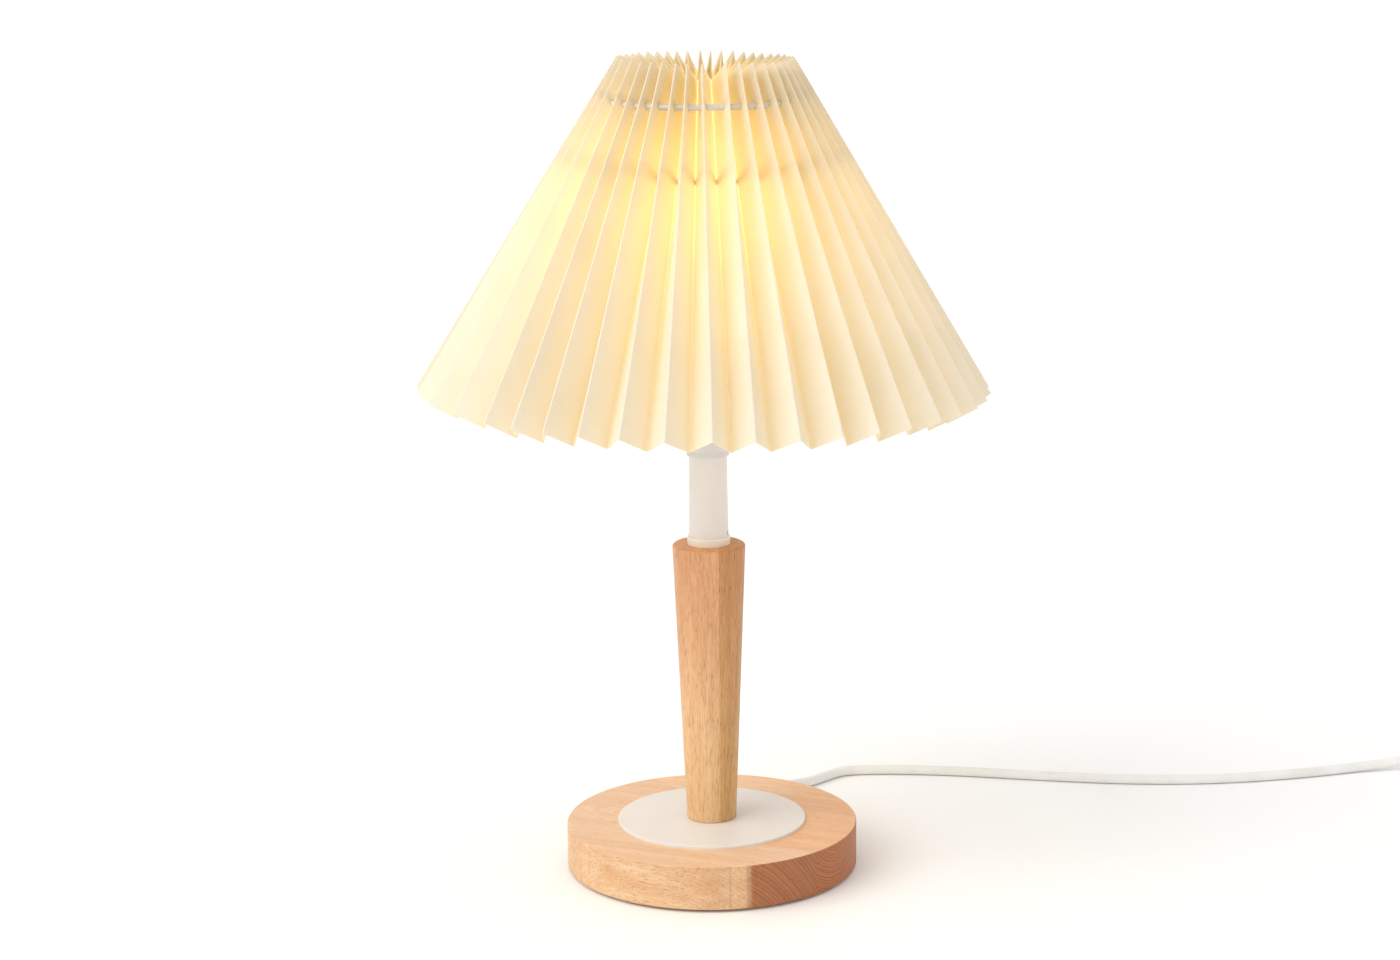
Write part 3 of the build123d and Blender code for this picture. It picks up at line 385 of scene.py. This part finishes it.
foot_wood.bump(foot_fibre * 0.5 - foot_pores - glue_line, 0.00008, 0.6)
dress(foot_wood, "base_disc")

felt = Finish("grey_felt", roughness=0.95)
felt_hair = felt.noise(felt.place, 1400.0, 4.0, 0.7, 1.5)
felt.set(**{"Base Color": felt.mix(
    felt_hair.ramp(0.3, 0.7), paint(96, 93, 90), paint(128, 124, 120))})
felt.bump(felt_hair, 0.0003)
dress(felt, "base_pad")

# ------------------------------------------------------------------ cover disc, collar and neck
# Thin pressed steel disc on the foot, turned collar and drawn neck tube, all powder
# coated in warm white with a fine satin peel that softens their highlights.


def powder_coat(name, pale, dull):
    """Satin powder coat with a fine peel."""
    finish = Finish(name)
    peel = finish.noise(finish.place, 1100.0, 2.0, 0.5)
    cloud = finish.noise(finish.place, 30.0, 3.0, 0.5)
    finish.set(**{
        "Base Color": finish.mix(cloud.ramp(0.3, 0.7), pale, dull),
        "Roughness": peel.ramp(0.2, 0.8, 0.34, 0.46),
    })
    finish.bump(peel, 0.00005, 0.6)
    return finish


white_coat = powder_coat("white_powder_coat", paint(232, 227, 223), paint(227, 222, 217))
collar_coat = powder_coat("collar_powder_coat", paint(246, 238, 230), paint(241, 232, 223))
dress(white_coat, "cover_plate", "neck_tube")
dress(collar_coat, "neck_collar")

# ------------------------------------------------------------------ stem
# Turned peg of the same hardwood that widens upwards, glued up from two strips, the
# right one darker. Its grain runs along it, full of fine reddish pores, pinker at the top.
strip_joint = 0.0048
strip_joint_blur = 0.0004
stem_wood = Finish("stem_wood", roughness=0.42)
stem_x, stem_y, stem_z = (stem_wood.along(axis) for axis in (to_right, to_back, upward))
stem_tones = [
    paint(236, 198, 146), paint(222, 178, 126), paint(204, 152, 104), paint(180, 108, 74),
    paint(206, 156, 112), paint(150, 92, 60)]
stem_colour, stem_fibre, stem_pores = oiled_wood(
    stem_wood, stem_z, stem_x, stem_y, (-0.030, 0.020), stem_tones, 0.0)
rosy = stem_z.ramp(0.050, 0.170)
stem_colour = stem_wood.mix(rosy, stem_colour, stem_wood.mix(
    1.0, stem_colour, paint(245, 226, 226), "MULTIPLY"))
strip_place = stem_wood.point(stem_x * 40.0, stem_y * 40.0, stem_z * 14.0)
strip_sway = stem_wood.noise(strip_place, 1.0, 1.0) - 0.5
right_strip = (stem_x + strip_sway * 0.002).ramp(
    strip_joint - strip_joint_blur, strip_joint + strip_joint_blur)
stem_colour = stem_wood.mix(right_strip, stem_colour, stem_wood.mix(
    1.0, stem_colour, paint(234, 226, 200), "MULTIPLY"))
stem_wood.set(**{"Base Color": stem_colour, "Roughness": stem_fibre.ramp(0.2, 0.8, 0.38, 0.54)})
stem_wood.bump(stem_fibre * 0.5 - stem_pores, 0.00008, 0.6)
dress(stem_wood, "stem")

# ------------------------------------------------------------------ fixings
# Zinc plated rod, nut, washer and screws, with brass contacts and thread. All but the grub
# screw on the neck are hidden in the lamp or show only through the open shade.


def bare_metal(name, bright, dull, roughness):
    """Plated metal with faint drawing lines and cloudy wear."""
    finish = Finish(name, metallic=1.0)
    wear = finish.noise(finish.place, 160.0, 4.0, 0.6)
    lines = finish.noise(finish.point(
        finish.along(to_right) * 300.0, finish.along(to_back) * 300.0,
        finish.along(upward) * 4000.0), 1.0, 2.0)
    finish.set(**{
        "Base Color": finish.mix(wear.ramp(0.35, 0.75), bright, dull),
        "Roughness": wear.ramp(0.3, 0.8, roughness, roughness + 0.14),
    })
    finish.bump(lines, 0.00002, 0.4)
    return finish


zinc = bare_metal("zinc_plate", paint(196, 197, 198), paint(160, 161, 163), 0.32)
brass = bare_metal("plain_brass", paint(214, 178, 108), paint(176, 140, 80), 0.30)
nickel = bare_metal("nickel_plate", paint(214, 213, 209), paint(188, 186, 181), 0.20)
cap_metal = bare_metal("bulb_cap_metal", paint(206, 206, 203), paint(170, 170, 168), 0.28)
dress(zinc, "threaded_rod", "rod_washer", "rod_nut", "neck_grub_screw", "terminal_screws",
      "rocker_pin", "switch_screws")
dress(brass, "holder_bush", "holder_terminals", "screw_shell", "centre_contact", "switch_contacts")
dress(nickel, "plug_pins")
dress(cap_metal, "bulb_cap", "bulb_tip")

# ------------------------------------------------------------------ lampholder and plastics
# Moulded lampholder with a glazed ceramic insert; a grooved ring clamps the shade's
# wire carrier on it. Lampholder, switch and plug are moulded in the same warm white, but the
# lampholder and its ring are painted greyer: painted shade under the lampshade.


def moulded(name, colour, shade, roughness, grain):
    """Moulded plastic or glaze with a fine tool texture."""
    finish = Finish(name)
    flow = finish.noise(finish.place, 45.0, 3.0, 0.5)
    texture = finish.noise(finish.place, grain, 2.0, 0.5)
    finish.set(**{
        "Base Color": finish.mix(flow.ramp(0.3, 0.75), colour, shade),
        "Roughness": texture.ramp(0.25, 0.75, roughness - 0.05, roughness + 0.07),
    })
    finish.bump(texture, 0.00004, 0.5)
    return finish


# Finish, its two tones, its roughness, the grain of its texture and the nodes that wear it.
mouldings = (
    # The lampholder's white is painted greyer: painted shade under the lampshade.
    ("holder_white_painted_shade", (222, 219, 214), (214, 210, 204), 0.40, 1300.0,
     ("holder_cap", "holder_skirt", "clamp_ring")),
    ("white_ceramic", (240, 237, 230), (231, 226, 216), 0.18, 260.0, ("holder_core",)),
    ("switch_white", (242, 240, 235), (236, 233, 227), 0.30, 1700.0,
     ("switch_base", "switch_cover", "switch_rocker")),
    ("plug_white", (240, 238, 233), (233, 230, 224), 0.46, 1200.0, ("plug_body",)),
    ("bulb_white", (240, 240, 237), (233, 233, 229), 0.34, 1500.0, ("bulb_housing",)),
    ("black_glass", (38, 38, 42), (26, 26, 30), 0.16, 300.0, ("bulb_insulator",)),
    ("board_white", (238, 238, 230), (228, 228, 219), 0.36, 1600.0, ("led_board",)),
    ("brown_vinyl", (112, 82, 56), (98, 70, 47), 0.42, 1100.0, ("holder_wires",)),
)
for name, light_tone, dark_tone, gloss_loss, grain, wearers in mouldings:
    dress(moulded(name, paint(*light_tone), paint(*dark_tone), gloss_loss, grain), *wearers)

# ------------------------------------------------------------------ bulb
# Screw-in bulb with a frosted dome, lit. The dome itself glows, and a warm lamp a little
# smaller than the dome, at its middle, lights the paper from inside.
dome_low, dome_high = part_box("bulb_dome")
dome_radius = (dome_high[0] - dome_low[0]) / 2
bulb_warm = (1.0, 0.86, 0.46)
bulb_power = 0.42
frosted = Finish("frosted_dome", roughness=0.55, emission_strength=1.6)
frost = frosted.noise(frosted.place, 60.0, 2.0)
frosted.set(**{
    "Base Color": frosted.mix(frost, paint(252, 248, 238), paint(248, 243, 230)),
    "Emission Color": frosted.mix(frost, (1.0, 0.80, 0.50, 1.0), (1.0, 0.77, 0.46, 1.0)),
})
dress(frosted, "bulb_dome")
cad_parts["bulb_dome"].visible_shadow = False
nothing_selected()
bpy.ops.object.light_add(type="POINT", location=(0, 0, dome_high[2] - dome_radius))
bulb_light = bpy.context.object
bulb_light.name = "bulb_light"
bulb_light.data.energy = bulb_power
bulb_light.data.color = bulb_warm
bulb_light.data.shadow_soft_size = dome_radius * 0.9

# ------------------------------------------------------------------ shade carrier and gather ring
# Dipped steel wire, white: the washer with its four arms and the ring inside the pleats.
# The ring threaded through a punched hole in every pleat, and its sleeve, are painted
# greyer: painted shade from the pleat valleys they run through.
dipped_wire = moulded(
    "white_dipped_wire", paint(240, 238, 233), paint(232, 229, 223), 0.36, 800.0)
# The threaded ring's wire is painted greyer than the carrier: painted shade.
shaded_ring_wire = moulded("ring_wire_painted_shade", paint(218, 211, 200), paint(205, 198, 187), 0.36, 800.0)
dress(dipped_wire, "shade_frame")
dress(shaded_ring_wire, "gather_ring", "ring_sleeve")

# ------------------------------------------------------------------ pleated shade
# One strip of cream laminated paper, 200 mm tall, folded into 44 pleats and glued end to
# end. The folds fan out from a tight top to a wide bottom edge, and every panel keeps its
# width, so the wider gap beside the glued joint makes a shallower pleat.
pleat_count = 44
columns_a_pleat = 6
columns = pleat_count * columns_a_pleat
rows = 20
paper_thickness = 0.0003
fold_half_width = 0.0003
panel_bow = 0.0003
shade_rise = 0.171
shade_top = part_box("pleated_shade")[1][2]
# Each pair is for the top edge, then the bottom edge. A fold dips inwards as it deepens.
rim_height = (shade_top, shade_top - shade_rise)
rim_radius = (0.0458, 0.1500)
panel_width = (0.01788, 0.01775)
fold_dip = (atan2(9.2, 15.1), atan2(7.5, 12.4))
# Outer folds at the front, in degrees to the right of the camera's side, top then bottom.
front_folds = (
    (-86, -77, -67.7, -54.9, -45.1, -36.7, -28.6, -19,
     -11.9, -2.4, 12.8, 21.8, 30.9, 40, 48.6, 55.9),
    (-80, -67.5, -56.3, -45.9, -38.7, -31.3, -23.9, -15.8,
     -7.3, 1.4, 9.4, 17.9, 26.5, 34.6, 42.6, 51.6),
)
# The shade sits a degree off square on its carrier, with its left side up.
shade_lean = 0.97
sit = Matrix.Rotation(radians(shade_lean), 4, "Y")
sit_point = Vector((0.0, 0.0, rim_height[0] - 0.050))
# Hand folding: outer folds out of sight are up to this many degrees off an even spread,
# and the ends of every outer fold are up to this much low.
turn_slip, height_slip = 0.7, 0.0006
hand = random.Random(44)


def folds_around(front):
    """Turns of all the outer folds: those seen at the front, then the rest spread evenly, each a
    little off.
    """
    rest = pleat_count - len(front)
    span = front[0] + 360 - front[-1]
    turns = list(front)
    for index in range(1, rest + 1):
        turns.append(front[-1] + span * index / (rest + 1) + hand.uniform(-turn_slip, turn_slip))
    return [radians(turn) for turn in turns]


def rim_folds(end):
    """Places of outer and inner folds along the top (0) or bottom (1) edge of the strip."""
    radius, height = rim_radius[end], rim_height[end]
    turns = folds_around(front_folds[end])
    outer = [
        Vector((radius * sin(turn), -radius * cos(turn), height + hand.uniform(-height_slip, 0.0)))
        for turn in turns
    ]
    inner = []
    for index, here in enumerate(outer):
        there = outer[(index + 1) % pleat_count]
        middle = (here + there) / 2
        depth = sqrt(panel_width[end] ** 2 - ((there - here).length / 2) ** 2)
        outward = Vector((middle.x, middle.y, 0)).normalized()
        drop = Vector((0, 0, depth * sin(fold_dip[end])))
        inner.append(middle - outward * depth * cos(fold_dip[end]) - drop)
    return outer, inner


rims = (rim_folds(0), rim_folds(1))


def paper_place(column, row):
    """Place of one corner of the paper: six columns a pleat, rows from top to bottom."""
    pleat, part = divmod(column % columns, columns_a_pleat)
    down = row / rows
    ridge, valley, next_ridge = (
        rims[0][kind][index].lerp(rims[1][kind][index], down)
        for kind, index in ((0, pleat), (1, pleat), (0, (pleat + 1) % pleat_count))
    )
    side = (next_ridge - ridge).normalized()
    bow = panel_bow * sin(pi * down) * sin(pleat * 2.4 + 1.0)
    place = (
        ridge + side * fold_half_width,
        (ridge + valley) / 2 + side * bow,
        valley - side * fold_half_width,
        valley + side * fold_half_width,
        (valley + next_ridge) / 2 + side * bow,
        next_ridge - side * fold_half_width,
    )[part]
    return sit @ (place - sit_point) + sit_point


nothing_selected()
bpy.ops.mesh.primitive_cylinder_add(
    vertices=columns, radius=0.1, depth=1.0, end_fill_type="NOTHING")
paper_shade = bpy.context.object
paper_shade.name = "paper_shade"
bpy.ops.object.mode_set(mode="EDIT")
bpy.ops.mesh.select_mode(type="EDGE")
bpy.ops.mesh.select_all(action="DESELECT")
tube = bmesh.from_edit_mesh(paper_shade.data)
for edge in tube.edges:
    edge.select_set(abs(edge.verts[0].co.z - edge.verts[1].co.z) > 0.5)
bmesh.update_edit_mesh(paper_shade.data)
bpy.ops.mesh.subdivide(number_cuts=rows - 1)
bpy.ops.object.mode_set(mode="OBJECT")
stations = []
for vertex in paper_shade.data.vertices:
    turn = atan2(vertex.co.x, vertex.co.y) % (2 * pi)
    column = round(-turn / (2 * pi) * columns) % columns
    stations.append((column, round((0.5 - vertex.co.z) * rows)))
    vertex.co = paper_place(*stations[-1])
# The map is the strip laid flat: along the strip, then up its height.
flat_map = paper_shade.data.uv_layers.new(name="flat_strip")
for face in paper_shade.data.polygons:
    strip_end = any(stations[index][0] == columns - 1 for index in face.vertices)
    for corner, index in zip(face.loop_indices, face.vertices):
        column, row = stations[index]
        if strip_end and column == 0:
            column = columns
        flat_map.data[corner].uv = (column / columns, 1 - row / rows)

bpy.ops.object.mode_set(mode="EDIT")
bpy.ops.mesh.select_all(action="SELECT")
bpy.ops.mesh.normals_make_consistent(inside=False)
bpy.ops.object.mode_set(mode="OBJECT")
stock = paper_shade.modifiers.new("paper_stock", "SOLIDIFY")
stock.thickness = paper_thickness
stock.offset = -1.0
stock.use_even_offset = True
bpy.ops.object.modifier_apply(modifier=stock.name)

# The punch goes through every panel where the gather ring runs.
ring_low, ring_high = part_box("gather_ring")
ring_wire = (ring_high[2] - ring_low[2]) / 2
punch_clearance = 0.00035
nothing_selected()
bpy.ops.mesh.primitive_torus_add(
    location=(0, 0, (ring_high[2] + ring_low[2]) / 2), major_segments=176, minor_segments=12,
    major_radius=(ring_high[0] - ring_low[0]) / 2 - ring_wire,
    minor_radius=ring_wire + punch_clearance)
punch = bpy.context.object
nothing_selected()
paper_shade.select_set(True)
bpy.context.view_layer.objects.active = paper_shade
holes = paper_shade.modifiers.new("punched_holes", "BOOLEAN")
holes.operation = "DIFFERENCE"
holes.solver = "EXACT"
holes.object = punch
bpy.ops.object.modifier_apply(modifier=holes.name)
bpy.data.objects.remove(punch)
bpy.ops.object.shade_smooth_by_angle(angle=radians(12))

paper = Finish("cream_paper", roughness=0.75)
pulp = paper.noise(paper.place, 420.0, 4.0, 0.6)
cloudy = paper.noise(paper.place, 38.0, 3.0, 0.5)
paper_tone = paper.mix(cloudy.ramp(0.3, 0.7), paint(249, 245, 236), paint(246, 241, 230))
paper_tone = paper.mix(pulp.ramp(0.55, 0.8) * 0.35, paper_tone, paint(236, 226, 206))
# How deep in a fold a point lies: 0 on the ridge, 1 in the valley, where light gathers.
strip_place = paper.add("UVMap", {"uv_map": "flat_strip"})
along_strip = paper.add("SeparateXYZ", None, {0: strip_place})
in_pleat = paper.maths("FRACT", along_strip * pleat_count, 0.0) * columns_a_pleat
valley_column = (columns_a_pleat - 1) / 2
fold_depth = 1.0 - abs(in_pleat - valley_column) * (1 / valley_column)
# The base colour is painted yellower toward the valleys: painted glow of the lamp's light gathering
# in the folds.
paper_tone = paper.mix(fold_depth.ramp(0.50, 1.0) * 0.65, paper_tone, paint(248, 224, 170))
paper.set(**{"Base Color": paper_tone})
paper.bump(pulp, 0.00006, 0.35)
glow = paper.add("BsdfTranslucent", None, {"Color": paint(251, 243, 222)})
# The paper lets more light through in the folds and toward the top.
toward_top = paper.along(upward).ramp(0.32, 0.42)
see_through = fold_depth.ramp(0.0, 0.5, 0.40, 0.56)
see_through = see_through + toward_top * fold_depth.ramp(0.0, 0.5, 0.14, 0.32)
layers = paper.add("MixShader", None, {0: see_through})
mix_node = layers.socket.node
paper.tree.links.new(paper.shader.outputs[0], mix_node.inputs[1])
paper.tree.links.new(glow.socket, mix_node.inputs[2])
paper.tree.links.new(layers.socket, paper.tree.nodes["Material Output"].inputs["Surface"])
paper_shade.data.materials.clear()
paper_shade.data.materials.append(paper.material)
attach(paper_shade, "shade")
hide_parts("pleated_shade")
